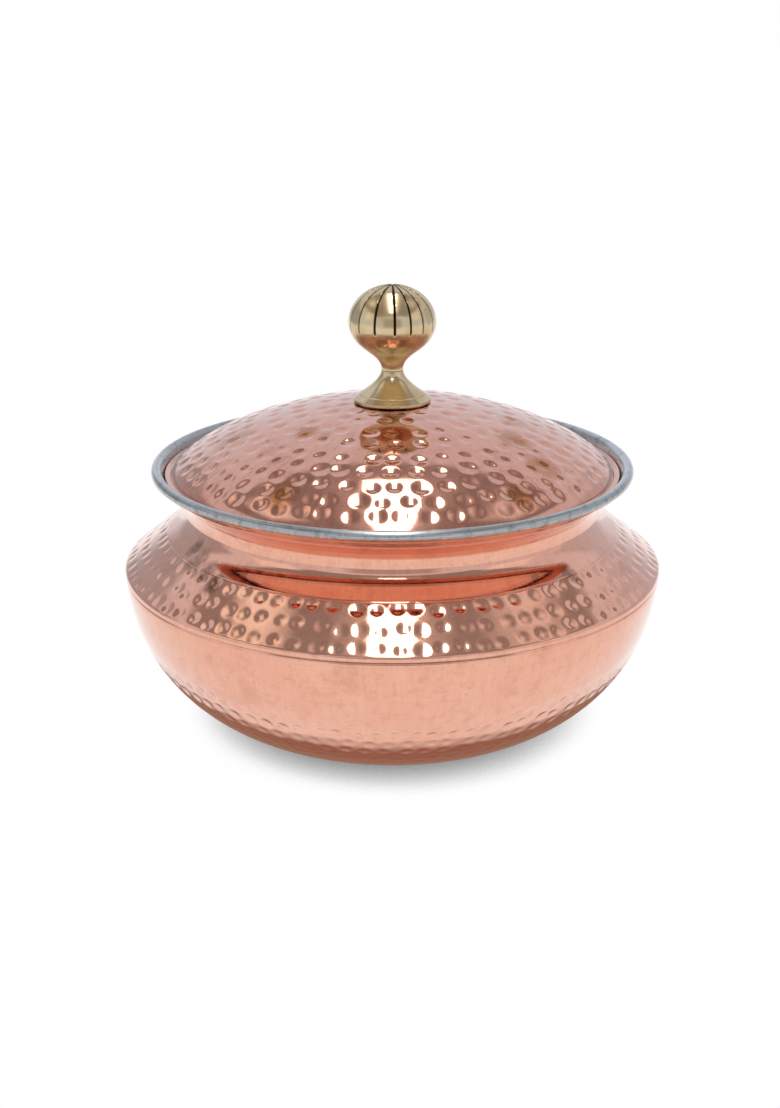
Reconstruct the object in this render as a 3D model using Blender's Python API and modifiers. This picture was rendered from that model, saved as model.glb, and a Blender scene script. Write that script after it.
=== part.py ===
"""Handi cooking pot: a copper bowl and shoulder, lapped and brazed at the widest line, a mouth
rolled over a wire, and a domed lid with a cast brass knob that is screwed on from below.

Metres, +Z up. The origin is the centre of the flat base, which stands on z = 0.
"""

from math import atan2, cos, pi, radians, sin, sqrt, tan

import bpy
from mathutils import Vector

mm = 0.001

# Fits and sheet
gap = 0.3 * mm  # left between pieces that touch
merge_distance = 0.1 * mm  # within which a turned shape's points on the axis become one
pot_sheet = 1.0 * mm  # copper of the bowl and the shoulder
lid_sheet = 1.0 * mm

# Bowl, from the floor up to the lap seam
widest_radius = 135.2 * mm  # outside of the lap
seam_height = 79.4 * mm  # lower edge of the lap
base_radius = 64 * mm  # the flat that it stands on
side_lean = 2.9 * mm  # how far the wall draws in over its upper half
side_share = 0.67  # of the bowl's height, kept nearly upright
floor_share = 0.375  # of the floor's overhang, kept nearly flat

# Lap seam
lap_height = 2.1 * mm  # from the lap's lower edge to the corner of the shoulder
lap_proud = 0.3 * mm  # how far the lap stands out from the bowl
joggle_height = 1.0 * mm  # the step that sets the bowl's top edge inside the lap
corner_bend = 2.5 * mm  # radius from the lap into the shoulder
lap_depth = 4.0 * mm  # how far the bowl's top edge reaches in under the shoulder
braze_radius = 0.45 * mm  # bead of filler along the bowl's top edge

# Shoulder, neck and mouth
shoulder_reach = 21.7 * mm  # inwards to the scribed line
shoulder_rise = 16.7 * mm
scribe_bend = 6.0 * mm
cove_reach = 7.5 * mm  # from the scribed line in to the throat
cove_rise = 4.9 * mm
cove_bend = 20 * mm
throat_reach = 4.0 * mm  # from the cove in to the neck
throat_rise = 5.1 * mm
neck_height = 7.8 * mm
neck_bend = 7.0 * mm
flare_reach = 12.6 * mm  # from the neck out to the clear mouth
mouth_rise = 13.8 * mm  # from the neck up to the middle of the roll
lip_length = 7.0 * mm  # the steeper wall that the lid seats in
lip_angle = radians(68)
lip_bend = 8.0 * mm

# Rolled rim
wire_radius = 1.3 * mm
roll_wrap = radians(288)

# Lid
lid_side_gap = 1.6 * mm  # between the lid's edge and the clear mouth
flange_width = 3.0 * mm
dome_rise = 33.4 * mm
dome_power_share = 0.77  # 1 makes a parabola, 0.5 an ellipse

# Foot of the knob, a hollow casting
foot_radius = 19.2 * mm
foot_height = 15.2 * mm
foot_gap = 0.6 * mm  # the dark line between its edge and the lid
foot_lip_height = 1.4 * mm
foot_wall = 1.6 * mm
foot_hollow = 3.6 * mm  # depth of the hollow round the boss
boss_radius = 6.5 * mm
waist_radius = 5.4 * mm
foot_neck_shares = (0.03, 0.34)  # of the foot's reach and fall, along the neck
foot_skirt_shares = (0.46, 0.33)  # of the same, along the skirt

# Ball of the knob, with grooves like a melon's
ball_radius = 21.4 * mm
ball_rise = 23.2 * mm  # from its foot to its widest line
ball_crown = 18.3 * mm  # from the widest line to its top
groove_end_drop = 6.0 * mm  # below the widest line
groove_end_inset = 1.7 * mm  # how much narrower the ball is there
stem_share = 0.46  # of the ball's underside, kept upright
cup_shares = (0.24, 0.46)  # of the underside's reach and rise, along the cup
groove_count = 16
groove_width = 0.8 * mm
groove_depth = 0.7 * mm

# Screw and washer under the lid
screw_radius = 2.3 * mm
screw_grip = 12 * mm  # thread held in the ball
screw_point = 0.6 * mm
tap_runout = 1.0 * mm
head_radius = 4.6 * mm
head_height = 2.4 * mm
head_crown_share = 0.5  # of the head's height and radius, rounded off
slot_width = 1.1 * mm
slot_depth = 1.2 * mm
washer_radius = 8.0 * mm
washer_sheet = 1.0 * mm

# Fineness of the turned shapes
pot_steps = 48
knob_steps = 24
roll_points = 10
bend_points = 4
wire_sides = 8
braze_sides = 6
bowl_points = 11
dome_points = 12
knob_points = 8

# Places that follow from the sizes
throat_radius = widest_radius - shoulder_reach - cove_reach
neck_radius = throat_radius - throat_reach
corner_height = seam_height + lap_height
shoulder_top = corner_height + shoulder_rise
throat_height = shoulder_top + cove_rise
neck_foot = throat_height + throat_rise
neck_top = neck_foot + neck_height
roll_inside = wire_radius + gap
roll_outside = roll_inside + pot_sheet
mouth_radius = neck_radius + flare_reach
roll_centre = Vector((mouth_radius + roll_outside, neck_top + mouth_rise))
screw_hole = screw_radius + gap


def polar(radius, angle):
    return Vector((cos(angle), sin(angle))) * radius


lip_run = polar(1, lip_angle)
lip_outward = polar(1, lip_angle - pi / 2)
lip_top = roll_centre - lip_outward * roll_inside

# The lid's edge stops where it meets the inside of the lip
lid_radius = mouth_radius - lid_side_gap
crease_radius = lid_radius - flange_width
seat_line = lip_top - lip_outward * (pot_sheet + gap)
seat_height = seat_line.y + (lid_radius - seat_line.x) * tan(lip_angle)
crease_height = seat_height + lid_sheet


def dome_height(radius):
    """Height of the lid's outside above its crease."""
    return dome_rise * (1 - (radius / crease_radius) ** 2) ** dome_power_share


# Heights on the lid, above its crease
foot_base = dome_height(foot_radius) + foot_gap
boss_base = dome_rise + gap
foot_top = foot_base + foot_height
ball_base = foot_top + gap
ball_middle = ball_base + ball_rise
groove_end = Vector((ball_radius - groove_end_inset, ball_middle - groove_end_drop))
washer_top = dome_height(washer_radius) - lid_sheet - gap
head_top = washer_top - washer_sheet - gap
screw_tip = ball_base + screw_grip


def bend_reach(before, here, after, radius):
    """How far a bend runs along each side of its corner, kept within half of the shorter side."""
    turn = (here - before).angle(after - here)
    room = min((here - before).length, (after - here).length) / 2
    return min(radius * tan(turn / 2), room)


def bent(corners):
    """The line through (place, bend radius) corners, with each corner drawn as a smooth bend."""
    points = [corners[0][0]]
    for (before, _), (here, radius), (after, _) in zip(corners, corners[1:], corners[2:]):
        reach = bend_reach(before, here, after, radius)
        start = here + (before - here).normalized() * reach
        end = here + (after - here).normalized() * reach
        for step in range(bend_points):
            share = step / (bend_points - 1)
            points.append(start.lerp(here, share).lerp(here.lerp(end, share), share))
    return points + [corners[-1][0]]


def curve(start, first_handle, last_handle, end, count):
    points = []
    for step in range(count):
        t = step / (count - 1)
        first = start * (1 - t) ** 3 + first_handle * 3 * t * (1 - t) ** 2
        points.append(first + last_handle * 3 * t**2 * (1 - t) + end * t**3)
    return points


def ring_outline(centre, radius, sides):
    return [centre + polar(radius, -2 * pi * side / sides) for side in range(sides)]


shoulder_corners = [
    (lip_top, 0),
    (lip_top - lip_run * lip_length, lip_bend),
    (Vector((neck_radius, neck_top)), neck_bend),
    (Vector((neck_radius, neck_foot)), neck_bend),
    (Vector((throat_radius, throat_height)), cove_bend),
    (Vector((throat_radius + cove_reach, shoulder_top)), scribe_bend),
    (Vector((widest_radius, corner_height)), corner_bend),
    (Vector((widest_radius, seam_height)), 0),
]
cone_run = (shoulder_corners[-3][0] - shoulder_corners[-2][0]).normalized()
cone_inward = Vector((-cone_run.y, cone_run.x))
lap_fit = pot_sheet + gap


def bowl_edge_line(depth):
    """The lap's corner, moved in under the shoulder by a depth, and the end of the bowl's edge."""
    inward = Vector((-1, 0)) + cone_inward
    corner = Vector((widest_radius, corner_height)) + inward * depth / (1 + cone_inward.dot((-1, 0)))
    return corner, corner + cone_run * lap_depth


def bowl_outline():
    """The bowl's outside, from its edge under the shoulder, through the lap, to the middle of the floor."""
    lap_corner, edge = bowl_edge_line(lap_fit)
    joggle_top = Vector((lap_corner.x, seam_height - gap))
    below_lap = Vector((widest_radius - lap_proud, joggle_top.y - joggle_height))
    top = bent([(edge, 0), (lap_corner, max(corner_bend - lap_fit, 0)), (joggle_top, 0)])
    floor_edge = Vector((base_radius, 0))
    side = below_lap - Vector((side_lean, side_share * below_lap.y))
    under = floor_edge + Vector((floor_share * (below_lap.x - base_radius), 0))
    return [*top, *curve(below_lap, side, under, floor_edge, bowl_points), Vector((0, 0))]


def shoulder_outline():
    """The shoulder's outside, from the hidden edge of the roll to the lower edge of the lap."""
    roll_end = lip_angle + pi / 2
    roll = []
    for point in range(roll_points - 1):
        angle = roll_end - roll_wrap * (1 - point / (roll_points - 1))
        roll.append(roll_centre + polar(roll_inside, angle))
    return roll + bent(shoulder_corners)


def braze_outline():
    """The bead of filler that runs round the bowl's edge, under the shoulder."""
    edge = bowl_edge_line(lap_fit + braze_radius)[1]
    return ring_outline(edge + cone_run * (gap + braze_radius), braze_radius, braze_sides)


def lid_outline():
    """The lid's upper side, from its screw hole to the edge of its flange."""
    points = [Vector((screw_hole, dome_height(screw_hole)))]
    for step in range(1, dome_points):
        radius = crease_radius * sin(pi / 2 * step / (dome_points - 1))
        points.append(Vector((radius, dome_height(min(radius, crease_radius)))))
    return [*points, Vector((lid_radius, 0))]


def foot_outline():
    """The section of the foot: down the outside, round the hollow and up the bore."""
    reach = foot_radius - waist_radius
    lip = Vector((foot_radius, foot_base + foot_lip_height))
    neck = Vector((waist_radius, foot_top))
    fall = neck.y - lip.y
    neck_handle = neck + Vector((foot_neck_shares[0] * reach, -foot_neck_shares[1] * fall))
    skirt_handle = lip + Vector((-foot_skirt_shares[0] * reach, foot_skirt_shares[1] * fall))
    return [
        *curve(neck, neck_handle, skirt_handle, lip, knob_points),
        Vector((foot_radius, foot_base)),
        Vector((foot_radius - foot_wall, foot_base)),
        Vector((boss_radius, foot_base + foot_hollow)),
        Vector((boss_radius, boss_base)),
        Vector((screw_hole, boss_base)),
        Vector((screw_hole, foot_top)),
    ]


def ball_outline():
    """The outside of the ball from its top to its stem, and the tapped hole."""
    points = []
    for step in range(knob_points):
        angle = pi / 2 * (1 - step / (knob_points - 1))
        points.append(Vector((ball_radius * cos(angle), ball_middle + ball_crown * sin(angle))))
    # Halfway down from the widest line to the end of the grooves, on an ellipse through both
    end_share = 1 - (groove_end.x / ball_radius) ** 2
    half_radius = ball_radius * sqrt(1 - end_share / 4)
    points.append(Vector((half_radius, ball_middle - groove_end_drop / 2)))
    stem = Vector((waist_radius, ball_base))
    reach = groove_end.x - stem.x
    rise = groove_end.y - stem.y
    cup_handle = groove_end - Vector((cup_shares[0] * reach, cup_shares[1] * rise))
    stem_handle = stem + Vector((0, stem_share * rise))
    points += curve(groove_end, cup_handle, stem_handle, stem, knob_points)
    hole_end = screw_tip + tap_runout
    return [
        *points,
        Vector((screw_hole, ball_base)),
        Vector((screw_hole, hole_end)),
        Vector((0, hole_end)),
    ]


def screw_outline():
    """The screw from its tip, which points up, to the underside of its head."""
    crown = head_crown_share * head_height
    return [
        Vector((0, screw_tip)),
        Vector((screw_radius - screw_point, screw_tip)),
        Vector((screw_radius, screw_tip - screw_point)),
        Vector((screw_radius, head_top)),
        Vector((head_radius, head_top)),
        Vector((head_radius, head_top - head_height + crown)),
        Vector((head_radius * (1 - head_crown_share / 2), head_top - head_height)),
        Vector((0, head_top - head_height)),
    ]


def washer_outline():
    bottom = washer_top - washer_sheet
    return [
        Vector((washer_radius, washer_top)),
        Vector((washer_radius, bottom)),
        Vector((screw_hole, bottom)),
        Vector((screw_hole, washer_top)),
    ]


def clear_scene():
    for old in list(bpy.data.objects):
        bpy.data.objects.remove(old)


def new_collection(name):
    made = bpy.data.collections.new(name)
    bpy.context.scene.collection.children.link(made)
    return made


def finish(name, colour, roughness):
    """A bare metal, with its colour in linear values."""
    made = bpy.data.materials.new(name)
    made.use_nodes = True
    shader = made.node_tree.nodes["Principled BSDF"]
    shader.inputs["Base Color"].default_value = (*colour, 1)
    shader.inputs["Roughness"].default_value = roughness
    shader.inputs["Metallic"].default_value = 1
    made.diffuse_color = (*colour, 1)
    return made


def turned(name, outline, metal, steps, wall=0, closed=False, parent=None):
    """An outline turned about Z. With a wall it is a sheet, whose other face lies on the inner side."""
    mesh = bpy.data.meshes.new(name)
    count = len(outline)
    edges = [(i, (i + 1) % count) for i in range(count if closed else count - 1)]
    mesh.from_pydata([(point.x, 0, point.y) for point in outline], edges, [])
    mesh.materials.append(metal)
    made = bpy.data.objects.new(name, mesh)
    made.parent = parent
    pieces.objects.link(made)
    screw = made.modifiers.new("Turn", "SCREW")
    screw.steps = screw.render_steps = steps
    screw.use_merge_vertices = True
    screw.merge_threshold = merge_distance
    screw.use_smooth_shade = True
    if wall:
        solidify = made.modifiers.new("Wall", "SOLIDIFY")
        solidify.thickness = wall
        solidify.offset = -1
        solidify.use_even_offset = True
    return made


def groove_ball(ball):
    """Draws the ball's columns together in threes and sinks the middle one of each into a groove."""
    graph = bpy.context.evaluated_depsgraph_get()
    ball.data = bpy.data.meshes.new_from_object(ball.evaluated_get(graph))
    ball.modifiers.clear()
    sector = 2 * pi / groove_count
    for vertex in ball.data.vertices:
        place = vertex.co
        radius = place.xy.length
        if place.z <= groove_end.y or radius < groove_width:
            continue
        angle = atan2(place.y, place.x)
        middle = round(angle / sector) * sector
        offset = angle - middle
        if abs(offset) < sector / 8:
            height = place.z - ball_middle
            inward = Vector((radius, height)).normalized() * groove_depth
            radius -= inward.x
            place.z -= inward.y
            angle = middle
        elif abs(offset) < sector * 3 / 8:
            side = min(groove_width / 2 / radius, sector / 4)
            angle = middle + (side if offset > 0 else -side)
        place.xy = polar(radius, angle)


def cut_slot(screw):
    """Saws the driver's slot across the screw head."""
    head_bottom = head_top - head_height
    bpy.ops.mesh.primitive_cube_add(size=1)
    cutter = bpy.context.object
    cutter.name = "slot_cutter"
    cutter.scale = (2 * head_radius + gap, slot_width, 2 * slot_depth)
    cutter.location = (0, 0, head_bottom)
    cutter.parent = screw.parent
    cutter.hide_render = True
    cutter.display_type = "WIRE"
    for holder in list(cutter.users_collection):
        holder.objects.unlink(cutter)
    cutters.objects.link(cutter)
    cut = screw.modifiers.new("Slot", "BOOLEAN")
    cut.operation = "DIFFERENCE"
    cut.object = cutter


clear_scene()
pieces = new_collection("handi_cooking_pot")
cutters = new_collection("cutters")

copper = finish("copper", (0.83, 0.44, 0.32), 0.22)
copper_lid = finish("copper_lid", (0.80, 0.42, 0.31), 0.25)
brass = finish("brass", (0.58, 0.48, 0.27), 0.25)
steel = finish("steel", (0.52, 0.52, 0.51), 0.35)
braze = finish("braze", (0.60, 0.52, 0.34), 0.40)

turned("pot_bowl", bowl_outline(), copper, pot_steps, wall=pot_sheet)
turned("pot_shoulder", shoulder_outline(), copper, pot_steps, wall=pot_sheet)
rim_wire = ring_outline(roll_centre, wire_radius, wire_sides)
turned("rim_wire", rim_wire, steel, pot_steps, closed=True)
turned("seam_braze", braze_outline(), braze, pot_steps, closed=True)

# The lid lifts along this empty's axis, and its pieces are drawn from the height of its crease
lid = bpy.data.objects.new("lid", None)
lid.location = (0, 0, crease_height)
pieces.objects.link(lid)
turned("lid_dome", lid_outline(), copper_lid, pot_steps, wall=lid_sheet, parent=lid)
turned("knob_foot", foot_outline(), brass, knob_steps, closed=True, parent=lid)
groove_ball(turned("knob_ball", ball_outline(), brass, 4 * groove_count, parent=lid))
turned("knob_washer", washer_outline(), brass, knob_steps, closed=True, parent=lid)
cut_slot(turned("knob_screw", screw_outline(), brass, knob_steps, parent=lid))
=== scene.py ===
from bisect import bisect
from math import atan2, ceil, cos, degrees, floor, hypot, pi, radians, sin, sqrt, tan
from random import Random

import bpy
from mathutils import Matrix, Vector, kdtree


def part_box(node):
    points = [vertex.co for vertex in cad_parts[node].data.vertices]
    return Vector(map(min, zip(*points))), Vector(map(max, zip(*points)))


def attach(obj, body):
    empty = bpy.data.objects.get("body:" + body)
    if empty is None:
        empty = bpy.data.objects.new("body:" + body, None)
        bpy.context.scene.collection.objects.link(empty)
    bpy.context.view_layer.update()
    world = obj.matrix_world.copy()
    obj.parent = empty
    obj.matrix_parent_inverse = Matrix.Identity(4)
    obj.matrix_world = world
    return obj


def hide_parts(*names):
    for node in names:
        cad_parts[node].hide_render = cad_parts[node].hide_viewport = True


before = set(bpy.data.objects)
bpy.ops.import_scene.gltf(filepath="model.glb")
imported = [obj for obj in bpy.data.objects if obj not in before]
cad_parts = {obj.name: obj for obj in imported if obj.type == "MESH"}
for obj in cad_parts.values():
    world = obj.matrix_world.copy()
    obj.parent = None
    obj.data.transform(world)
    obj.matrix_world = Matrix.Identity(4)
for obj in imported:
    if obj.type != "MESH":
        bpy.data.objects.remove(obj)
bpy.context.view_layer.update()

mm = 0.001
bpy.ops.object.select_all(action="DESELECT")
print("frame loaded")

shoulderLow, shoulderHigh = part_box("pot_shoulder")
lidLow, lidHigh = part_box("lid_dome")
footLow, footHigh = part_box("knob_foot")
ballLow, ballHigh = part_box("knob_ball")
washerLow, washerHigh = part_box("knob_washer")
screwLow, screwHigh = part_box("knob_screw")
brazeLow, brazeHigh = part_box("seam_braze")

# Camera, at the photograph's angle
camera = {
    "place": (0, -679 * mm, 321 * mm),
    "tiltDown": 19.5,
    "sensor": 36,
    "focalPixels": 1400,
    "framePixels": 1108,  # the photograph's longer side
    "rightPixels": 2.3,  # the pot stands this far right of the middle
}

bpy.ops.object.camera_add(location=camera["place"], rotation=(radians(90 - camera["tiltDown"]), 0, 0))
lookout = bpy.context.object
lookout.name = "camera"
lookout.data.lens = camera["sensor"] * camera["focalPixels"] / camera["framePixels"]
lookout.data.shift_x = -camera["rightPixels"] / camera["framePixels"]
lookout.data.clip_start = 10 * mm
bpy.context.scene.camera = lookout
print("camera placed")


# Outlines: (radius, height) points in metres, turned about Z later

def polar(radius, angle):
    return Vector((cos(angle), sin(angle))) * radius


def bend(before, here, after, radius, points=12):
    turned = (here - before).angle(after - here)
    reach = min(radius * tan(turned / 2), (here - before).length / 2, (after - here).length / 2)
    start = here + (before - here).normalized() * reach
    end = here + (after - here).normalized() * reach
    shares = [step / (points - 1) for step in range(points)]
    return [start.lerp(here, share).lerp(here.lerp(end, share), share) for share in shares]


def bentLine(corners):
    # straight runs between (place, bend radius) corners, with each corner drawn round
    line = [corners[0][0]]
    for (before, _), (here, radius), (after, _) in zip(corners, corners[1:], corners[2:]):
        line += bend(before, here, after, radius)
    return line + [corners[-1][0]]


def bezier(start, firstHandle, lastHandle, end, points=100):
    line = []
    for step in range(points):
        t = step / (points - 1)
        first = start * (1 - t) ** 3 + firstHandle * 3 * t * (1 - t) ** 2
        line.append(first + lastHandle * 3 * t**2 * (1 - t) + end * t**3)
    return line


def lengthsAlong(line):
    lengths = [0]
    for before, here in zip(line, line[1:]):
        lengths.append(lengths[-1] + (here - before).length)
    return lengths


def spaced(line, spacingAt, finest=0.1 * mm):
    # the same line with its points as far apart as spacingAt(place) says
    kept = [line[0]]
    walked = 0
    for before, here in zip(line, line[1:]):
        pieces = max(1, ceil((here - before).length / finest))
        for piece in range(1, pieces + 1):
            walked += (here - before).length / pieces
            place = before.lerp(here, piece / pieces)
            if walked >= spacingAt(place):
                kept.append(place)
                walked = 0
    kept[-1] = line[-1]
    return kept


def across(line, index):
    # the outward normal of a line that runs down its outer side
    run = line[min(index + 1, len(line) - 1)] - line[max(index - 1, 0)]
    return Vector((-run.y, run.x)).normalized()


def moved(line, depth):
    return [point - across(line, index) * depth for index, point in enumerate(line)]


def scored(line, at, width, depth):
    # a fine scored line: points within its width sink, those at its middle the deepest
    sunk = []
    for index, point in enumerate(line):
        share = (point - at).length / (width / 2)
        sunk.append(point - across(line, index) * depth * max(0, 1 - share**2))
    return sunk


# Turning, hammering and smoothing

mergeReach = 0.002 * mm  # points closer than this become one
handwork = {
    "strayShare": 0.16,  # of the spacing: how far a blow strays round its ring
    "strayMillimetres": 0.9,  # and along the outline
    "radiusShares": (0.84, 1.12),
    "depthShares": (0.7, 1.15),
    "faintest": 0.02 * mm,  # shallower blows are left out
    "edgePower": 1.1,  # rounds the rim of a dent
}


def pick(piece):
    bpy.ops.object.select_all(action="DESELECT")
    piece.select_set(True)
    bpy.context.view_layer.objects.active = piece


def turn(name, outline, columns, masks=None, closed=True):
    # one point is drawn out along the outline, as with E in edit mode, and turned round Z
    start = outline[0]
    bpy.ops.object.select_all(action="DESELECT")
    bpy.ops.mesh.primitive_plane_add(size=0.1 * mm, location=(start.x, 0, start.y))
    piece = bpy.context.object
    piece.name = piece.data.name = name
    bpy.ops.object.transform_apply()
    bpy.ops.object.mode_set(mode="EDIT")
    bpy.ops.mesh.merge(type="CENTER")
    for before, after in zip(outline, outline[1:]):
        move = (after.x - before.x, 0, after.y - before.y)
        bpy.ops.mesh.extrude_region_move(TRANSFORM_OT_translate={"value": move})
    if closed:
        bpy.ops.mesh.select_all(action="DESELECT")
        bpy.ops.object.mode_set(mode="OBJECT")
        piece.data.vertices[0].select = piece.data.vertices[-1].select = True
        bpy.ops.object.mode_set(mode="EDIT")
        bpy.ops.mesh.edge_face_add()
    bpy.ops.object.mode_set(mode="OBJECT")
    for mask, values in (masks or {}).items():
        layer = piece.data.attributes.new(mask, "FLOAT", "POINT")
        layer.data.foreach_set("value", values)
    screw = piece.modifiers.new("Turn", "SCREW")
    screw.steps = screw.render_steps = columns
    screw.use_merge_vertices = True
    screw.merge_threshold = mergeReach
    bpy.ops.object.modifier_apply(modifier="Turn")
    bpy.ops.object.mode_set(mode="EDIT")
    bpy.ops.mesh.select_all(action="SELECT")
    bpy.ops.mesh.remove_doubles(threshold=mergeReach)
    bpy.ops.mesh.normals_make_consistent(inside=False)
    bpy.ops.object.mode_set(mode="OBJECT")
    return piece


def sheetOf(name, outer, inner, columns, closed=True, tinShare=lambda place: 1.0):
    # a sheet with its copper face along the outer line and its tinned face along the inner one
    tinned = [0.0] * len(outer) + [tinShare(place) for place in inner[::-1]]
    run = lengthsAlong(outer) + lengthsAlong(inner)[::-1]
    return turn(name, outer + inner[::-1], columns, {"tinned": tinned, "run": run}, closed)


def ringOfBlows(line, ring, size, luck):
    # one ring of hammer blows round the pot, none quite like the next
    stray, shift = handwork["strayShare"], handwork["strayMillimetres"]
    lengths = lengthsAlong(line)
    blows = []
    phase = luck.random()
    for number in range(ring["count"]):
        angle = 2 * pi * (number + phase + luck.uniform(-stray, stray)) / ring["count"]
        reached = ring["distance"] + luck.uniform(-shift, shift) * mm
        index = min(max(bisect(lengths, reached), 1), len(line) - 2)
        point, normal = line[index], across(line, index)
        place = Vector((point.x * sin(angle), -point.x * cos(angle), point.y))
        inward = -Vector((normal.x * sin(angle), -normal.x * cos(angle), normal.y))
        radius = size["radius"] * luck.uniform(*handwork["radiusShares"])
        depth = size["depth"] * luck.uniform(*handwork["depthShares"])
        if "bareFront" in ring:
            fromFront = abs((angle + pi) % (2 * pi) - pi)
            depth *= min(1, max(0, fromFront / radians(ring["bareFront"]) - 1))
        if depth > handwork["faintest"]:
            blows.append((place, inward, radius, depth))
    return blows


def hammer(piece, blows, sheet):
    # every point within a blow sinks along it, on both faces of the sheet
    mesh = piece.data
    tree = kdtree.KDTree(len(mesh.vertices))
    for vertex in mesh.vertices:
        tree.insert(vertex.co, vertex.index)
    tree.balance()
    sunk = {}
    for place, inward, radius, depth in blows:
        for spot, index, _ in tree.find_range(place, hypot(radius, sheet)):
            offset = spot - place
            share = (offset - inward * offset.dot(inward)).length / radius
            if share < 1:
                fall = depth * (1 - share**2) ** handwork["edgePower"]
                if fall > sunk.get(index, (0, None))[0]:
                    sunk[index] = (fall, inward)
    for index, (fall, inward) in sunk.items():
        mesh.vertices[index].co += inward * fall
    mesh.update()


def tarnish(piece, patches):
    # where heat and handling have browned the copper: degrees from the front, radius and size in mm
    layer = piece.data.attributes.new("tarnish", "FLOAT", "POINT")
    for vertex in piece.data.vertices:
        share = 0
        for angle, radius, size in patches:
            spot = Vector((sin(radians(angle)), -cos(radians(angle)))) * radius * mm
            share = max(share, 1 - ((vertex.co.xy - spot).length / (size * mm)) ** 2)
        layer.data[vertex.index].value = share


def smooth(piece, angle=40):
    pick(piece)
    bpy.ops.object.shade_smooth_by_angle(angle=radians(angle))


def finishPiece(piece, body, node, material):
    smooth(piece)
    piece.data.materials.append(material)
    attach(piece, body)
    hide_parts(node)
    print(piece.name, "done,", len(piece.data.polygons), "faces")


# Materials

def colour(code):
    # an sRGB hex value as linear red, green, blue, alpha
    parts = [int(code[i : i + 2], 16) / 255 for i in (1, 3, 5)]
    return (*[p / 12.92 if p <= 0.04045 else ((p + 0.055) / 1.055) ** 2.4 for p in parts], 1)


def addNode(tree, kind, values=None, links=None, **settings):
    node = tree.nodes.new("ShaderNode" + kind)
    for name, value in settings.items():
        setattr(node, name, value)
    for socket, value in (values or {}).items():
        node.inputs[socket].default_value = value
    for socket, source in (links or {}).items():
        tree.links.new(source, node.inputs[socket])
    return node


def newMaterial(name):
    material = bpy.data.materials.new(name)
    material.use_nodes = True
    material.node_tree.nodes.clear()
    return material, material.node_tree


def perMetre(size):
    # the scale of a noise whose features are about this size
    return 1 / size


def ramp(tree, source, low, high, start=0.0, end=1.0):
    return addNode(tree, "MapRange", {1: low, 2: high, 3: start, 4: end}, {0: source}).outputs[0]


def blend(tree, share, first, second):
    # mixes two colours, each a hex value or another node's output
    values, links = {}, {0: share}
    for socket, tone in ((6, first), (7, second)):
        if isinstance(tone, str):
            values[socket] = colour(tone)
        else:
            links[socket] = tone
    return addNode(tree, "Mix", values=values, links=links, data_type="RGBA").outputs[2]


bumpHeight = 0.05 * mm

# noises of the sheet copper: (size of a feature, detail, roughness)
copperNoises = {
    "cloud": (34 * mm, 4, 0.6),
    "stain": (21 * mm, 5, 0.65),
    "mottle": (5 * mm, 5, 0.7),
    "blotch": (2.5 * mm, 4, 0.7),
    "speck": (1.6 * mm, 2, 0.5),
    "grain": (0.9 * mm, 2, 0.5),
}
ringLength = 60 * mm  # of a turning line
streakLength = 14 * mm
tin = {"light": "#B4B7B9", "dark": "#8F9294", "spot": "#63666A", "spotShare": 0.7, "polish": (0.22, 0.36)}


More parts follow.
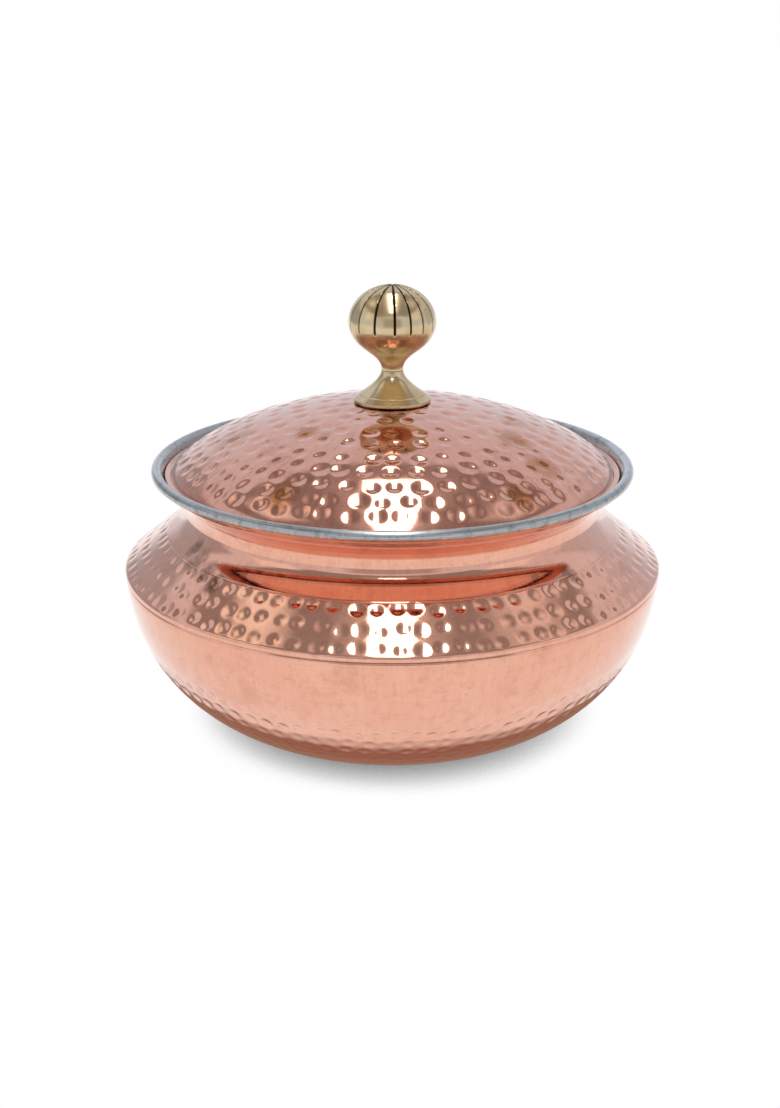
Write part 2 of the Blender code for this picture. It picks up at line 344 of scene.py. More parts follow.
def sheetCopper(name, look):
    # Copper sheet, hammered and burnished by hand and wiped with tin inside: a rosy mirror with fine
    # turning lines, brown stains in places, and a greyer, softer lining
    material, tree = newMaterial(name)
    place = addNode(tree, "TexCoord").outputs["Object"]
    run = addNode(tree, "Attribute", attribute_name="run").outputs["Fac"]
    tinned = addNode(tree, "Attribute", attribute_name="tinned").outputs["Fac"]
    patch = addNode(tree, "Attribute", attribute_name="tarnish").outputs["Fac"]
    noises = {}
    for key, (size, detail, roughness) in copperNoises.items():
        values = {"Scale": perMetre(size), "Detail": detail, "Roughness": roughness}
        noises[key] = addNode(tree, "TexNoise", values, {0: place}).outputs[0]

    # turning lines: noise drawn out along the rings that the sheet was turned in
    split = addNode(tree, "SeparateXYZ", links={0: place})
    flat = addNode(tree, "CombineXYZ", links={0: split.outputs[0], 1: split.outputs[1]}).outputs[0]
    scale = (perMetre(ringLength),) * 3
    wide = addNode(tree, "VectorMath", {1: scale}, {0: flat}, operation="MULTIPLY").outputs[0]
    fine = addNode(tree, "Math", {1: perMetre(look["lineSpacing"])}, {0: run}, operation="MULTIPLY")
    fine = addNode(tree, "CombineXYZ", links={2: fine.outputs[0]}).outputs[0]
    ringed = addNode(tree, "VectorMath", links={0: wide, 1: fine}, operation="ADD").outputs[0]
    lines = addNode(tree, "TexNoise", {"Scale": 1, "Detail": 3, "Roughness": 0.6}, {0: ringed}).outputs[0]

    # burnishing streaks: noise drawn out the other way, down the sheet
    spoke = addNode(tree, "VectorMath", links={0: flat}, operation="NORMALIZE").outputs[0]
    scale = (look["streaks"],) * 3
    spoke = addNode(tree, "VectorMath", {1: scale}, {0: spoke}, operation="MULTIPLY").outputs[0]
    down = addNode(tree, "Math", {1: perMetre(streakLength)}, {0: run}, operation="MULTIPLY")
    down = addNode(tree, "CombineXYZ", links={2: down.outputs[0]}).outputs[0]
    streaked = addNode(tree, "VectorMath", links={0: spoke, 1: down}, operation="ADD").outputs[0]
    streaks = addNode(tree, "TexNoise", {"Scale": 1, "Detail": 4, "Roughness": 0.7}, {0: streaked}).outputs[0]

    # the copper's layers: each noise shows its colour between two of its values, up to a share
    patch = addNode(tree, "Math", links={0: patch, 1: noises["blotch"]}, operation="MULTIPLY").outputs[0]
    stainEnd = look["stainStart"] + 0.12
    layers = [
        (streaks, 0.35, 0.7, look["streakShare"], look["stain"]),
        (noises["mottle"], 0.5, 0.72, look["mottleShare"], look["stain"]),
        (noises["stain"], look["stainStart"], stainEnd, look["stainShare"], look["stain"]),
        (patch, 0.1, 0.5, 0.9, look["patch"]),
        (noises["speck"], 0.7, 0.76, look["speckShare"], look["speck"]),
        (lines, 0.3, 0.7, look["lineShare"], look["stain"]),
    ]
    copper = blend(tree, ramp(tree, noises["cloud"], 0.35, 0.68), look["copper"], look["rosy"])
    for source, low, high, share, tone in layers:
        copper = blend(tree, ramp(tree, source, low, high, 0, share), copper, tone)

    # the lining was wiped round while the tin was hot, which leaves broad, soft swirls
    wipe = addNode(tree, "TexNoise", {"Scale": 0.35, "Detail": 3, "Distortion": 0.6}, {0: ringed}).outputs[0]
    lining = blend(tree, ramp(tree, wipe, 0.35, 0.65), tin["light"], tin["dark"])
    lining = blend(tree, ramp(tree, noises["mottle"], 0.5, 0.66, 0, tin["spotShare"]), lining, tin["spot"])

    # its edge is ragged
    ragged = ramp(tree, noises["blotch"], 0.3, 0.7, -0.35, 0.35)
    tinned = addNode(tree, "Math", links={0: tinned, 1: ragged}, operation="ADD").outputs[0]
    tinned = ramp(tree, tinned, 0.42, 0.58)
    base = blend(tree, tinned, copper, lining)
    polish = ramp(tree, streaks, 0.3, 0.7, look["polish"], look["polish"] + 0.08)
    softness = ramp(tree, wipe, 0.3, 0.7, *tin["polish"])
    rough = addNode(tree, "Mix", links={0: tinned, 2: polish, 3: softness}).outputs[0]

    relief = [
        (lines, look["lineBump"]),
        (noises["grain"], look["grainBump"]),
        (noises["mottle"], look["mottleBump"]),
    ]
    links = {}
    for height, strength in relief:
        values = {"Strength": strength, "Distance": bumpHeight}
        bump = addNode(tree, "Bump", values, {"Height": height, **links})
        links = {"Normal": bump.outputs[0]}
    shader = addNode(
        tree, "BsdfPrincipled",
        {"Metallic": 1, "Coat Weight": look["haze"], "Coat IOR": look["hazeIor"], "Coat Roughness": 0.08},
        {"Base Color": base, "Roughness": rough, **links},
    )
    addNode(tree, "OutputMaterial", links={"Surface": shader.outputs[0]})
    return material


potCopper = sheetCopper("hammeredCopper", {
    "copper": "#F0B298",
    "rosy": "#EDA98F",
    "stain": "#C57F5C",
    "stainStart": 0.58,
    "stainShare": 0.35,
    "patch": "#7C4526",
    "speck": "#9A5A40",
    "speckShare": 0.55,
    "streaks": 90,
    "streakShare": 0.2,
    "mottleBump": 0.16,
    "mottleShare": 0.45,
    "lineSpacing": 0.8 * mm,
    "lineShare": 0.16,
    "lineBump": 0.1,
    "grainBump": 0.08,
    "polish": 0.035,
    "haze": 0.8,
    "hazeIor": 1.7,
})
lidCopper = sheetCopper("hammeredCopperWithPatina", {
    "copper": "#E8AD98",
    "rosy": "#E2A28D",
    "stain": "#A9674A",
    "stainStart": 0.56,
    "stainShare": 0.5,
    "patch": "#B06A35",
    "speck": "#8D5138",
    "speckShare": 0.55,
    "streaks": 60,
    "streakShare": 0.3,
    "mottleBump": 0.12,
    "mottleShare": 0.35,
    "lineSpacing": 0.8 * mm,
    "lineShare": 0.04,
    "lineBump": 0.04,
    "grainBump": 0.08,
    "polish": 0.035,
    "haze": 0.4,
    "hazeIor": 1.5,
})


def castMetal(name, look):
    # Thick metal, cast or drawn: a soft mirror with fine level lines, and pores that stay dark
    material, tree = newMaterial(name)
    place = addNode(tree, "TexCoord").outputs["Object"]
    split = addNode(tree, "SeparateXYZ", links={0: place})
    cloud = addNode(tree, "TexNoise", {"Scale": perMetre(9 * mm), "Detail": 4}, {0: place})
    pores = addNode(tree, "TexVoronoi", {"Scale": perMetre(7 * mm), "Randomness": 1}, {0: place})
    up, spacing = split.outputs[2], perMetre(look["lineSpacing"])
    level = addNode(tree, "Math", {1: spacing}, {0: up}, operation="MULTIPLY")
    ringed = addNode(tree, "CombineXYZ", links={2: level.outputs[0]})
    lines = addNode(tree, "TexNoise", {"Scale": 1, "Detail": 2}, {0: ringed.outputs[0]})

    base = blend(tree, ramp(tree, cloud.outputs[0], 0.35, 0.65), look["metal"], look["warm"])
    base = blend(tree, ramp(tree, pores.outputs[0], 0.05, 0.035), base, look["dark"])
    if look["patina"]:
        patina = addNode(tree, "Attribute", attribute_name="patina").outputs["Fac"]
        base = blend(tree, patina, base, look["dark"])
    rough = ramp(tree, cloud.outputs[0], 0.3, 0.7, look["polish"], look["polish"] + 0.1)
    strength = {"Strength": look["lineBump"], "Distance": bumpHeight}
    bump = addNode(tree, "Bump", strength, {"Height": lines.outputs[0]})
    shader = addNode(
        tree, "BsdfPrincipled", {"Metallic": 1},
        {"Base Color": base, "Roughness": rough, "Normal": bump.outputs[0]},
    )
    addNode(tree, "OutputMaterial", links={"Surface": shader.outputs[0]})
    return material


castBrass = castMetal("castBrass", {
    "metal": "#D6C29E",
    "warm": "#CBB084",
    "dark": "#241A10",
    "patina": True,
    "polish": 0.15,
    "lineSpacing": 0.7 * mm,
    "lineBump": 0.3,
})
turnedBrass = castMetal("turnedBrass", {
    "metal": "#CDAF6E",
    "warm": "#BD9C5A",
    "dark": "#33240F",
    "patina": False,
    "polish": 0.22,
    "lineSpacing": 0.4 * mm,
    "lineBump": 0.3,
})
brazeFiller = castMetal("brazeFiller", {
    "metal": "#C7B07C",
    "warm": "#A88A58",
    "dark": "#3A2A18",
    "patina": False,
    "polish": 0.38,
    "lineSpacing": 2 * mm,
    "lineBump": 0.5,
})
drawnSteel = castMetal("drawnSteelWire", {
    "metal": "#A5A6A5",
    "warm": "#8F8F8D",
    "dark": "#3B3632",
    "patina": False,
    "polish": 0.3,
    "lineSpacing": 1 * mm,
    "lineBump": 0.2,
})
print("materials mixed")

# Shoulder: lap, hammered cone, scribed line, cove, throat, neck, flared mouth and rolled rim
shoulder = {
    "sheet": 1.0 * mm,
    "gap": 0.3 * mm,
    "lapHeight": 2.1 * mm,
    "lapBend": 2.5 * mm,
    "coneReach": 21.7 * mm,
    "coneRise": 16.7 * mm,
    "scribeBend": 6.0 * mm,
    "scribeWidth": 0.8 * mm,
    "scribeDepth": 0.12 * mm,
    "coveReach": 7.5 * mm,
    "coveRise": 4.9 * mm,
    "coveBend": 20 * mm,
    "throatReach": 4.0 * mm,
    "throatRise": 5.1 * mm,
    "neckHeight": 7.8 * mm,
    "neckBend": 7.0 * mm,
    "flareReach": 12.6 * mm,
    "mouthRise": 13.8 * mm,
    "lipLength": 7.0 * mm,
    "lipAngle": 68,
    "lipBend": 8.0 * mm,
    "wireRadius": 1.3 * mm,
    "rollWrap": 306,
    "rollReach": 1.0 * mm,  # below the roll, how far its fine points go on
    "rollSpacing": 0.4 * mm,
    "scribeReach": 0.7 * mm,
    "scribeSpacing": 0.2 * mm,
    "smoothSpacing": 1.3 * mm,
    "hammeredSpacing": 0.95 * mm,
    "lapReach": 1.0 * mm,
    "lapSpacing": 0.35 * mm,
    "liningSpacing": 2.4 * mm,
    "tinEdge": -38,  # degrees round the roll from its outermost line: below this it is all copper
    "tinFade": 30,  # degrees over which the tin sets in
    "columns": 740,
    "blow": {"radius": 3.4 * mm, "depth": 0.42 * mm},
    "rings": [(3.0, 80), (13.3, 85), (22.4, 90)],  # mm below the scribed line, blows round the pot
    "patches": [(-55, 111, 8), (-49, 113, 7), (-44, 117, 6), (-60, 108, 6), (46, 112, 6), (150, 118, 9)],
}

widest = shoulderHigh.x
seam = shoulderLow.z
corner = seam + shoulder["lapHeight"]
lapCorner = Vector((widest, corner))
scribe = Vector((widest - shoulder["coneReach"], corner + shoulder["coneRise"]))
throat = scribe + Vector((-shoulder["coveReach"], shoulder["coveRise"]))
neckRadius = throat.x - shoulder["throatReach"]
neckFoot = throat.y + shoulder["throatRise"]
neckTop = neckFoot + shoulder["neckHeight"]
rollInside = shoulder["wireRadius"] + shoulder["gap"]
rollOutside = rollInside + shoulder["sheet"]
rollCentre = Vector((neckRadius + shoulder["flareReach"] + rollOutside, neckTop + shoulder["mouthRise"]))
lipAngle = radians(shoulder["lipAngle"])
lipTop = rollCentre - polar(rollInside, lipAngle - pi / 2)
rollEnd = lipAngle + pi / 2
rollPoints = 60
rollStep = radians(shoulder["rollWrap"]) / rollPoints
rollLine = [rollCentre + polar(rollInside, rollEnd - rollStep * (rollPoints - i)) for i in range(rollPoints)]
bodyLine = bentLine([
    (lipTop, 0),
    (lipTop - polar(shoulder["lipLength"], lipAngle), shoulder["lipBend"]),
    (Vector((neckRadius, neckTop)), shoulder["neckBend"]),
    (Vector((neckRadius, neckFoot)), shoulder["neckBend"]),
    (throat, shoulder["coveBend"]),
    (scribe, shoulder["scribeBend"]),
    (lapCorner, shoulder["lapBend"]),
    (Vector((widest, seam)), 0),
])


def shoulderSpacing(place):
    if place.y > lipTop.y - shoulder["rollReach"]:
        return shoulder["rollSpacing"]
    if abs(place.y - scribe.y) < shoulder["scribeReach"]:
        return shoulder["scribeSpacing"]
    if place.y > scribe.y:
        return shoulder["smoothSpacing"]
    return shoulder["hammeredSpacing"] if place.y > corner + shoulder["lapReach"] else shoulder["lapSpacing"]


def liningSpacing(place):
    nearRoll = place.y > lipTop.y - shoulder["rollReach"]
    return shoulder["rollSpacing"] if nearRoll else shoulder["liningSpacing"]


def rollTin(place):
    # the tin stops on the outside of the roll, so its underside stays copper
    offset = place - rollCentre
    if offset.length > rollOutside + shoulder["gap"]:
        return 1.0
    pastEdge = degrees(atan2(offset.y, offset.x)) - shoulder["tinEdge"]
    return min(1, max(0, pastEdge / shoulder["tinFade"]))


shoulderLine = rollLine + bodyLine
shoulderOuter = spaced(shoulderLine, shoulderSpacing)
shoulderOuter = scored(shoulderOuter, scribe, shoulder["scribeWidth"], shoulder["scribeDepth"])
shoulderInner = moved(spaced(shoulderLine, liningSpacing), shoulder["sheet"])
shoulderSheet = sheetOf("shoulderSheet", shoulderOuter, shoulderInner, shoulder["columns"], tinShare=rollTin)
lengths = lengthsAlong(shoulderOuter)
nearest = min(range(len(shoulderOuter)), key=lambda i: (shoulderOuter[i] - scribe).length)
luck = Random(3)
blows = []
for distance, count in shoulder["rings"]:
    ring = {"distance": lengths[nearest] + distance * mm, "count": count}
    blows += ringOfBlows(shoulderOuter, ring, shoulder["blow"], luck)
hammer(shoulderSheet, blows, shoulder["sheet"])
tarnish(shoulderSheet, shoulder["patches"])
finishPiece(shoulderSheet, "pot", "pot_shoulder", potCopper)

# Bowl: flat base, hammered underside, smooth wall, and a joggled edge that reaches up inside the lap
bowl = {
    "sheet": 1.0 * mm,
    "baseRadius": 64 * mm,
    "sideLean": 2.9 * mm,
    "sideShare": 0.67,
    "floorShare": 0.375,
    "lapProud": 0.3 * mm,
    "joggle": 1.0 * mm,
    "lapDepth": 4.0 * mm,
    "cornerBend": 1.2 * mm,
    "hammeredTop": 52 * mm,
    "sideTop": 12 * mm,  # where the hammered side turns under
    "floorEdge": 3 * mm,  # inside the base radius, where the plain floor starts
    "edgeReach": 0.5 * mm,
    "edgeSpacing": 0.6 * mm,
    "smoothSpacing": 2.5 * mm,
    "sideSpacing": 0.95 * mm,
    "underSpacing": 1.3 * mm,
    "floorSpacing": 9 * mm,
    "liningSpacing": 3.4 * mm,
    "columns": 600,
    "blow": {"radius": 3.4 * mm, "depth": 0.56 * mm},
    "faintBlow": {"radius": 3.2 * mm, "depth": 0.26 * mm},  # worn nearly flat, under the pot
    "boldRings": 2,
    "firstRing": 34.8 * mm,  # along the wall from the seam
    "ringSpacing": 7.2 * mm,
    "ringCount": 9,
    "blowSpacing": 8.7 * mm,
    "bareFront": 16,  # degrees each side of the front that the first ring leaves bare
}

fit = shoulder["sheet"] + shoulder["gap"]
wallTop = Vector((widest - bowl["lapProud"], seam - shoulder["gap"] - bowl["joggle"]))
coneRun = (scribe - lapCorner).normalized()
coneInward = Vector((-coneRun.y, coneRun.x))
edgeCorner = lapCorner + (Vector((-1, 0)) + coneInward) * fit / (1 - coneInward.x)
baseEdge = Vector((bowl["baseRadius"], 0))
side = wallTop - Vector((bowl["sideLean"], bowl["sideShare"] * wallTop.y))
under = baseEdge + Vector((bowl["floorShare"] * (wallTop.x - baseEdge.x), 0))
edgeLine = bentLine([
    (edgeCorner + coneRun * bowl["lapDepth"], 0),
    (edgeCorner, bowl["cornerBend"]),
    (Vector((edgeCorner.x, seam - shoulder["gap"])), 0),
])
bowlLine = edgeLine + bezier(wallTop, side, under, baseEdge, 200) + [Vector((0, 0))]


def bowlSpacing(place):
    if place.y > wallTop.y - bowl["edgeReach"]:
        return bowl["edgeSpacing"]
    if place.y > bowl["hammeredTop"]:
        return bowl["smoothSpacing"]
    if place.x < bowl["baseRadius"] - bowl["floorEdge"]:
        return bowl["floorSpacing"]
    return bowl["sideSpacing"] if place.y > bowl["sideTop"] else bowl["underSpacing"]


bowlOuter = spaced(bowlLine, bowlSpacing)
bowlInner = moved(spaced(bowlLine, lambda place: bowl["liningSpacing"]), bowl["sheet"])
bowlInner[-1] = Vector((0, bowl["sheet"]))
bowlSheet = sheetOf("bowlSheet", bowlOuter[::-1], bowlInner[::-1], bowl["columns"], closed=False)
topLength = lengthsAlong(edgeLine)[-1]
lengths = lengthsAlong(bowlOuter)
luck = Random(5)
blows = []
for row in range(bowl["ringCount"]):
    distance = topLength + bowl["firstRing"] + row * bowl["ringSpacing"]
    ringRadius = bowlOuter[bisect(lengths, distance)].x
    ring = {"distance": distance, "count": round(2 * pi * ringRadius / bowl["blowSpacing"])}
    if row == 0:
        ring["bareFront"] = bowl["bareFront"]
    size = bowl["blow"] if row < bowl["boldRings"] else bowl["faintBlow"]
    blows += ringOfBlows(bowlOuter, ring, size, luck)
hammer(bowlSheet, blows, bowl["sheet"])
finishPiece(bowlSheet, "pot", "pot_bowl", potCopper)

# Bead of filler that joins bowl and shoulder inside, run in by hand
braze = {
    "sides": 12,
    "columns": 480,
    "waves": 5,
    "waveCounts": (20, 90),  # fewest and most swells of a wave round the pot
    "swell": 0.25,
}
beadRadius = (brazeHigh.z - brazeLow.z) / 2
beadCentre = Vector((brazeHigh.x - beadRadius, (brazeHigh.z + brazeLow.z) / 2))
beadLine = [beadCentre + polar(beadRadius, -2 * pi * i / braze["sides"]) for i in range(braze["sides"])]
bead = turn("brazeBead", beadLine, braze["columns"])
luck = Random(11)
waves = [(luck.uniform(0, 2 * pi), luck.randint(*braze["waveCounts"])) for _ in range(braze["waves"])]
for vertex in bead.data.vertices:
    angle = atan2(vertex.co.y, vertex.co.x)
    swell = sum(sin(angle * count + phase) for phase, count in waves) / len(waves)
    centre = Vector((cos(angle) * beadCentre.x, sin(angle) * beadCentre.x, beadCentre.y))
    vertex.co = centre + (vertex.co - centre) * (1 + braze["swell"] * swell)
finishPiece(bead, "pot", "seam_braze", brazeFiller)

# Lid: hammered dome, smooth bevel at its edge, crease and flat flange
lid = {
    "sheet": 1.0 * mm,
    "flange": 3.0 * mm,
    "rise": 33.4 * mm,
    "powerShare": 0.77,
    "hole": 2.6 * mm,
    "creaseWidth": 1.0 * mm,
    "creaseDepth": 0.5 * mm,
    "flangeLine": 1.5 * mm,  # from the crease out to a fine turned line
    "flangeLineWidth": 0.6 * mm,
    "flangeLineDepth": 0.15 * mm,
    "knobRadius": 18 * mm,  # of the part round the knob that is left plain
    "knobSpacing": 3 * mm,
    "hammeredRadius": 106.5 * mm,
    "hammeredSpacing": 0.98 * mm,
    "bevelRadius": 109 * mm,
    "bevelSpacing": 0.6 * mm,
    "edgeSpacing": 0.25 * mm,
    "liningRadius": 106 * mm,
    "liningSpacing": 3 * mm,
    "liningEdgeSpacing": 0.8 * mm,
    "columns": 580,
    "blow": {"radius": 4.2 * mm, "depth": 0.66 * mm},
    "blowSpacing": 11.4 * mm,
    "rings": [24, 34, 46.5, 58, 70, 79.5, 88, 96.2, 103.6],  # radii in mm
    "patches": [
        (-77, 79, 13), (-48, 55, 9), (-30, 98, 10),
        (35, 100, 9), (52, 88, 11), (58, 68, 12), (80, 60, 10), (170, 70, 15),
    ],
}
lidRadius = lidHigh.x
creaseRadius = lidRadius - lid["flange"]
creaseHeight = lidLow.z + lid["sheet"]


def domeHeight(radius):
    return creaseHeight + lid["rise"] * max(0, 1 - (radius / creaseRadius) ** 2) ** lid["powerShare"]


def lidSpacing(place):
    if place.x < lid["knobRadius"]:
        return lid["knobSpacing"]
    if place.x < lid["hammeredRadius"]:
        return lid["hammeredSpacing"]
    return lid["edgeSpacing"] if place.x > lid["bevelRadius"] else lid["bevelSpacing"]


def lidLiningSpacing(place):
    return lid["liningSpacing"] if place.x < lid["liningRadius"] else lid["liningEdgeSpacing"]


domeSteps = 500
domeReach = creaseRadius - lid["hole"]
domeRadii = [lid["hole"] + domeReach * sin(pi / 2 * step / domeSteps) for step in range(domeSteps + 1)]
lidLine = [Vector((radius, domeHeight(radius))) for radius in domeRadii] + [Vector((lidRadius, creaseHeight))]
crease = Vector((creaseRadius, creaseHeight))
flangeLine = crease + Vector((lid["flangeLine"], 0))
lidOuter = scored(spaced(lidLine, lidSpacing), crease, lid["creaseWidth"], lid["creaseDepth"])
lidOuter = scored(lidOuter, flangeLine, lid["flangeLineWidth"], lid["flangeLineDepth"])
lidInner = moved(spaced(lidLine, lidLiningSpacing), lid["sheet"])
lidSheet = sheetOf("lidSheet", lidOuter, lidInner, lid["columns"])
lengths = lengthsAlong(lidOuter)
luck = Random(7)
blows = []
for ringRadius in lid["rings"]:
    index = min(range(len(lidOuter)), key=lambda i: abs(lidOuter[i].x - ringRadius * mm))
    ring = {"distance": lengths[index], "count": round(2 * pi * ringRadius * mm / lid["blowSpacing"])}
    blows += ringOfBlows(lidOuter, ring, lid["blow"], luck)
hammer(lidSheet, blows, lid["sheet"])
tarnish(lidSheet, lid["patches"])
finishPiece(lidSheet, "lid", "lid_dome", lidCopper)

# Foot of the knob: a bell with a scribed ring, hollow round its boss
foot = {
    "waist": 5.4 * mm,
    "gap": 0.6 * mm,
    "lipHeight": 1.4 * mm,
    "edgeBend": 0.35 * mm,
    "wall": 1.6 * mm,
    "hollow": 3.6 * mm,
    "boss": 6.5 * mm,
    "neckShares": (0.03, 0.34),
    "skirtShares": (0.46, 0.33),
    "ringRise": 2.2 * mm,  # of the scribed ring, above the lip
    "ringWidth": 0.5 * mm,
    "ringDepth": 0.3 * mm,
    "spacing": 0.2 * mm,
    "columns": 256,
}
footRadius = footHigh.x
footBase = domeHeight(footRadius) + foot["gap"]
footLip = Vector((footRadius, footBase + foot["lipHeight"]))
footNeck = Vector((foot["waist"], footHigh.z))
spread = footRadius - foot["waist"]
fall = footNeck.y - footLip.y
neckHandle = footNeck + Vector((foot["neckShares"][0] * spread, -foot["neckShares"][1] * fall))
skirtHandle = footLip + Vector((-foot["skirtShares"][0] * spread, foot["skirtShares"][1] * fall))
rim = bentLine([
    (footLip, 0),
    (Vector((footRadius, footBase)), foot["edgeBend"]),
    (Vector((footRadius - foot["wall"], footBase)), foot["edgeBend"]),
    (Vector((foot["boss"], footBase + foot["hollow"])), foot["edgeBend"]),
    (Vector((foot["boss"], footLow.z)), 0),
])
footOutline = bezier(footNeck, neckHandle, skirtHandle, footLip)[:-1] + rim
footLine = spaced(footOutline, lambda place: foot["spacing"])
skirt = footLine[: len(footLine) // 2]
ringAt = min(skirt, key=lambda point: abs(point.y - footLip.y - foot["ringRise"]))
footLine = scored(footLine, ringAt, foot["ringWidth"], foot["ringDepth"])
boreLine = [Vector((lid["hole"], footLow.z)), Vector((lid["hole"], footHigh.z))]
footBell = turn("footBell", footLine + boreLine, foot["columns"])
finishPiece(footBell, "lid", "knob_foot", castBrass)

# Ball of the knob: sixteen sawn grooves over a cup that narrows to the stem
ball = {
    "rise": 23.2 * mm,
    "crown": 18.3 * mm,
    "edgeDrop": 6.0 * mm,
    "edgeInset": 1.7 * mm,
    "stemShare": 0.46,
    "cupShares": (0.24, 0.46),
    "waist": 5.4 * mm,
    "tapDepth": 13 * mm,
    "grooves": 16,
    "astray": [3.5, 2.3, -1, -1.5, 0, 2, -2, 1, 0, -1, 2, -2, 1, -3, -4, -1],  # sawing errors, in degrees
    "grooveWidth": 1.05 * mm,
    "grooveDepth": 0.8 * mm,
    "grooveDrop": 2.6 * mm,  # of its end, below the widest line
    "grooveFade": 0.8 * mm,
    "poleRadius": 3 * mm,  # within it, the grooves get shallower
    "tipRadius": 0.2 * mm,  # within it, a point has no angle to follow
    "tipPatina": 0.7,
    "drawPower": 2.2,  # how strongly the columns are drawn to the grooves
    "patinaReach": 1.25,
    "patinaPower": 0.7,
    "spacing": 0.45 * mm,
    "crownPoints": 60,
    "sidePoints": 12,
    "columnsPerGroove": 28,
}
ballRadius = ballHigh.x
middle = Vector((0, ballLow.z + ball["rise"]))
ballEdge = middle + Vector((ballRadius - ball["edgeInset"], -ball["edgeDrop"]))
edgeShare = 1 - (ballEdge.x / ballRadius) ** 2
crownSteps = [pi / 2 * step / ball["crownPoints"] for step in range(ball["crownPoints"] + 1)]
crownLine = [middle + Vector((ballRadius * sin(angle), ball["crown"] * cos(angle))) for angle in crownSteps]
sideLine = []
for step in range(1, ball["sidePoints"] + 1):
    share = step / ball["sidePoints"]
    reach = ballRadius * sqrt(1 - edgeShare * share**2)
    sideLine.append(middle + Vector((reach, -ball["edgeDrop"] * share)))
stem = Vector((ball["waist"], ballLow.z))
cup = ballEdge - stem
cupHandle = ballEdge - Vector((ball["cupShares"][0] * cup.x, ball["cupShares"][1] * cup.y))
stemHandle = stem + Vector((0, ball["stemShare"] * cup.y))
cupLine = bezier(ballEdge, cupHandle, stemHandle, stem)
ballLine = spaced(crownLine + sideLine + cupLine[1:], lambda place: ball["spacing"])
tapTop = ballLow.z + ball["tapDepth"]
tapLine = [Vector((lid["hole"], ballLow.z)), Vector((lid["hole"], tapTop)), Vector((0, tapTop))]
ballHead = turn("ballHead", ballLine + tapLine, ball["grooves"] * ball["columnsPerGroove"], closed=False)

patina = ballHead.data.attributes.new("patina", "FLOAT", "POINT")
sector = 2 * pi / ball["grooves"]
centre = Vector((0, 0, middle.y))
for vertex in ballHead.data.vertices:
    place = vertex.co.copy()
    radius = place.xy.length
    if radius < ball["tipRadius"]:
        patina.data[vertex.index].value = ball["tipPatina"]
        continue
    # the columns are drawn towards the grooves, where the shape is finest
    turned = atan2(place.x, -place.y) / sector
    groove = round(turned)
    offset = turned - groove
    offset = (0.5 if offset > 0 else -0.5) * abs(2 * offset) ** ball["drawPower"]
    angle = (groove + offset) * sector
    here = floor(groove + offset)
    errors = [ball["astray"][step % ball["grooves"]] for step in (here, here + 1)]
    angle += radians(errors[0] + (errors[1] - errors[0]) * (groove + offset - here))
    place.x, place.y = radius * sin(angle), -radius * cos(angle)
    fromGroove = abs(offset) * sector * radius / (ball["grooveWidth"] / 2)
    fade = min(1, max(0, 1 + (place.z - middle.y + ball["grooveDrop"]) / ball["grooveFade"]))
    depth = ball["grooveDepth"] * max(0, 1 - fromGroove**2) * fade * min(1, radius / ball["poleRadius"])
    vertex.co = place + (centre - place).normalized() * depth
    inGroove = min(1, max(0, ball["patinaReach"] - fromGroove)) ** ball["patinaPower"]
    patina.data[vertex.index].value = fade * inGroove
finishPiece(ballHead, "lid", "knob_ball", castBrass)

# Washer and slotted screw, under the lid
screw = {
    "radius": 2.3 * mm,
    "headRadius": 4.6 * mm,
    "headHeight": 2.4 * mm,
    "crown": 1.2 * mm,
    "crownShares": (0.3, 0.6),  # of its height and of the head's radius, for the handles of its curve
    "point": 0.6 * mm,
    "slotWidth": 1.1 * mm,
    "slotDepth": 1.2 * mm,
    "edgeBend": 0.2 * mm,
    "columns": 128,
}
washerLine = bentLine([
    (Vector((lid["hole"], washerHigh.z)), 0),
    (Vector((washerHigh.x, washerHigh.z)), screw["edgeBend"]),
    (Vector((washerHigh.x, washerLow.z)), screw["edgeBend"]),
    (Vector((lid["hole"], washerLow.z)), 0),
])
washerDisc = turn("washerDisc", washerLine, screw["columns"])
finishPiece(washerDisc, "lid", "knob_washer", turnedBrass)

crownStart = Vector((screw["headRadius"], screwLow.z + screw["crown"]))
upShare, inShare = screw["crownShares"]
firstHandle = Vector((screw["headRadius"], screwLow.z + upShare * screw["crown"]))
lastHandle = Vector((inShare * screw["headRadius"], screwLow.z))
screwLine = [
    Vector((0, screwHigh.z)),
    Vector((screw["radius"] - screw["point"], screwHigh.z)),
    Vector((screw["radius"], screwHigh.z - screw["point"])),
    Vector((screw["radius"], screwLow.z + screw["headHeight"])),
    Vector((screw["headRadius"], screwLow.z + screw["headHeight"])),
    *bezier(crownStart, firstHandle, lastHandle, Vector((0, screwLow.z)), 12),
]
slottedScrew = turn("slottedScrew", screwLine, screw["columns"], closed=False)
bpy.ops.object.select_all(action="DESELECT")
bpy.ops.mesh.primitive_cube_add(size=1, location=(0, 0, screwLow.z))
cutter = bpy.context.object
cutter.scale = (3 * screw["headRadius"], screw["slotWidth"], 2 * screw["slotDepth"])
pick(slottedScrew)
slot = slottedScrew.modifiers.new("Slot", "BOOLEAN")
slot.operation = "DIFFERENCE"
slot.object = cutter
bpy.ops.object.modifier_apply(modifier="Slot")
bpy.data.objects.remove(cutter)
finishPiece(slottedScrew, "lid", "knob_screw", turnedBrass)

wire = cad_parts["rim_wire"]
wire.data.materials.clear()
wire.data.materials.append(drawnSteel)

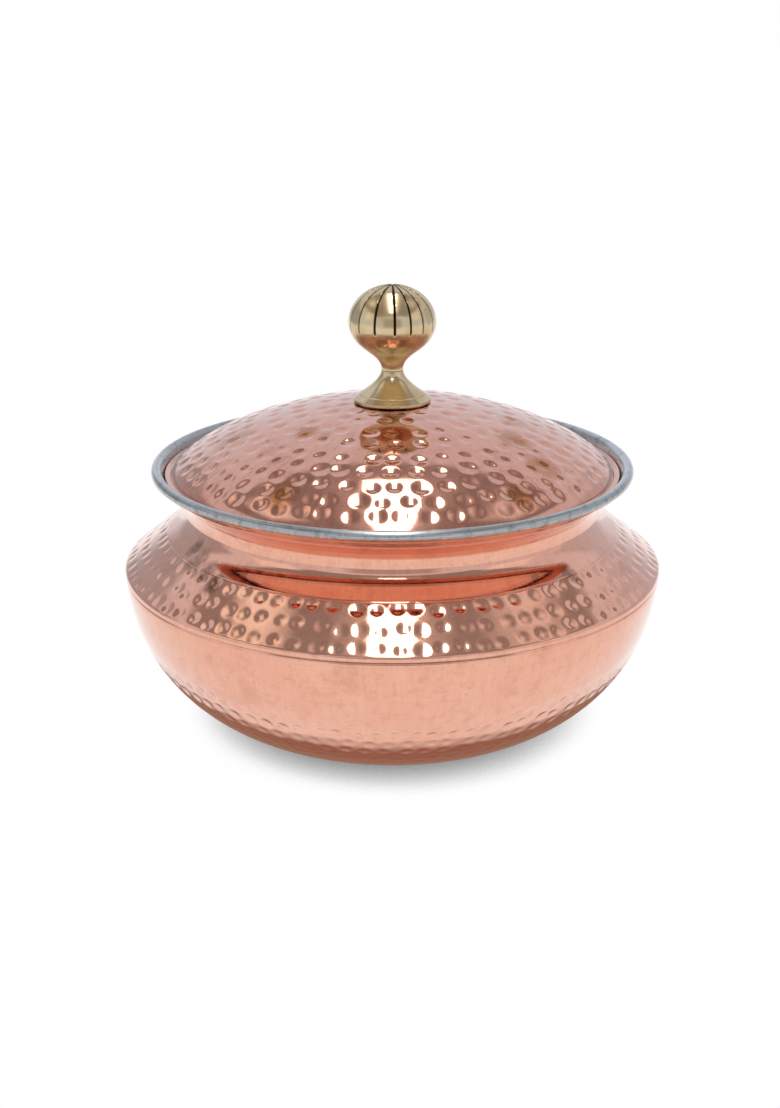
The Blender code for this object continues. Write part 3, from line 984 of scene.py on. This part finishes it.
# Studio: white paper floor, pale room, dark ceiling with a strip light, soft boxes at the sides
studio = {
    "roomTone": (0.77, 0.81, 0.89),
    "paper": (0.9, 0.9, 0.9),
    "shadowReach": 26 * mm,
    "shadowEnd": 0.4,  # how open a spot on the paper is where the shadow ends
    "shadowTone": 0.16,
    "shadePlace": (0, 25 * mm, 0),  # of the round shade that the copper mirrors
    "shadeRadius": 139 * mm,
    "shadeSoft": 8 * mm,
    "underPot": "#9E7765",  # paper that only sees copper
    "ceiling": 1.35,
}
bpy.ops.mesh.primitive_plane_add(size=12)
paperSheet = bpy.context.object
paperSheet.name = "paperSheet"
material, tree = newMaterial("whitePaper")
path = addNode(tree, "LightPath")
paper = addNode(tree, "BsdfDiffuse", {"Color": (*studio["paper"], 1)})
# the camera sees white paper with a soft contact shadow
near = addNode(tree, "AmbientOcclusion", {"Distance": studio["shadowReach"]}, samples=8)
lit = ramp(tree, near.outputs["AO"], 0, studio["shadowEnd"], studio["shadowTone"], 1)
seen = addNode(tree, "Emission", links={"Strength": lit})
# the copper mirrors the shade under and behind the pot
spot = addNode(tree, "TexCoord").outputs["Object"]
offset = addNode(tree, "VectorMath", {1: studio["shadePlace"]}, {0: spot}, operation="DISTANCE")
edges = studio["shadeRadius"] - studio["shadeSoft"], studio["shadeRadius"] + studio["shadeSoft"]
shaded = ramp(tree, offset.outputs["Value"], *edges)
tint = blend(tree, shaded, studio["underPot"], "#FFFFFF")
mirrored = addNode(tree, "Emission", {"Strength": 1}, {"Color": tint})
shader = paper.outputs[0]
for ray, surface in (("Is Glossy Ray", mirrored), ("Is Camera Ray", seen)):
    links = {0: path.outputs[ray], 1: shader, 2: surface.outputs[0]}
    shader = addNode(tree, "MixShader", links=links).outputs[0]
addNode(tree, "OutputMaterial", links={"Surface": shader})
paperSheet.data.materials.append(material)

world = bpy.data.worlds.new("paleRoom")
bpy.context.scene.world = world
world.use_nodes = True
tree = world.node_tree
tree.nodes.clear()
path = addNode(tree, "LightPath")
room = addNode(tree, "Background", {"Color": (*studio["roomTone"], 1), "Strength": 1})
white = addNode(tree, "Background", {"Color": (1, 1, 1, 1), "Strength": 1})
links = {0: path.outputs["Is Glossy Ray"], 1: white.outputs[0], 2: room.outputs[0]}
mix = addNode(tree, "MixShader", links=links)
addNode(tree, "OutputWorld", links={"Surface": mix.outputs[0]})


def card(name, size, place, target, tone, soft=0.15):
    # a glowing card that only shows in reflections, fading out over the soft share of its size
    bpy.ops.mesh.primitive_plane_add(size=1, location=place)
    piece = bpy.context.object
    piece.name = name
    piece.scale = (*size, 1)
    piece.rotation_euler = (Vector(place) - Vector(target)).to_track_quat("Z", "Y").to_euler()
    material, tree = newMaterial(name)
    split = addNode(tree, "SeparateXYZ", links={0: addNode(tree, "TexCoord").outputs["Object"]})
    wide = addNode(tree, "Math", links={0: split.outputs[0]}, operation="ABSOLUTE")
    long = addNode(tree, "Math", links={0: split.outputs[1]}, operation="ABSOLUTE")
    out = addNode(tree, "Math", links={0: wide.outputs[0], 1: long.outputs[0]}, operation="MAXIMUM")
    share = ramp(tree, out.outputs[0], 0.5, 0.5 - soft)
    glow = addNode(tree, "Emission", {"Color": (*tone, 1), "Strength": 1})
    clear = addNode(tree, "BsdfTransparent")
    fading = addNode(tree, "MixShader", links={0: share, 1: clear.outputs[0], 2: glow.outputs[0]})
    addNode(tree, "OutputMaterial", links={"Surface": fading.outputs[0]})
    piece.data.materials.append(material)
    piece.visible_camera = False
    piece.visible_diffuse = False
    piece.visible_shadow = False


def overhead(name, size, place, drop, tone, soft):
    top = studio["ceiling"] - drop
    card(name, size, (*place, top), (*place, 0), tone, soft)


overhead("ceilingCard", (3.0, 2.3), (0, -0.32), 0, (0.35, 0.34, 0.34), 0.04)
overhead("stripEdge", (0.8, 2.0), (0, -0.25), 0.01, (0.68, 0.66, 0.66), 0.3)
overhead("leftCeilingBox", (0.55, 0.9), (-0.85, 0.15), 0.02, (1.1, 1.12, 1.05), 0.35)
overhead("rightCeilingBox", (0.7, 0.9), (0.86, 0.15), 0.02, (0.88, 0.87, 0.87), 0.4)
card("leftWall", (1.9, 1.3), (-1.5, 1.0, 0.5), (0, 0, 0.5), (0.46, 0.48, 0.52))
card("rightWall", (1.7, 1.2), (1.5, 1.0, 0.5), (0, 0, 0.5), (0.62, 0.65, 0.72))
card("leftSoftBox", (0.75, 0.6), (-1.25, -0.5, 0.85), (0, 0, 0.1), (1.0, 1.0, 0.97))
card("rightSoftBox", (0.75, 0.6), (1.25, -0.5, 0.85), (0, 0, 0.1), (1.0, 1.0, 0.97))
card("frontCard", (1.5, 1.0), (0, -1.5, 0.55), (0, 0, 0.4), (0.5, 0.5, 0.52))


def lamp(name, size, place, target, power):
    bpy.ops.object.light_add(type="AREA", location=place)
    light = bpy.context.object
    light.name = name
    light.data.shape = "RECTANGLE"
    light.data.size, light.data.size_y = size
    light.data.energy = power
    light.rotation_euler = (Vector(place) - Vector(target)).to_track_quat("Z", "Y").to_euler()


lamp("stripLight", (0.29, 1.5), (0, -0.25, 1.3), (0, -0.25, 0), 5.4)
print("studio set")

scene = bpy.context.scene
scene.view_settings.view_transform = "Standard"
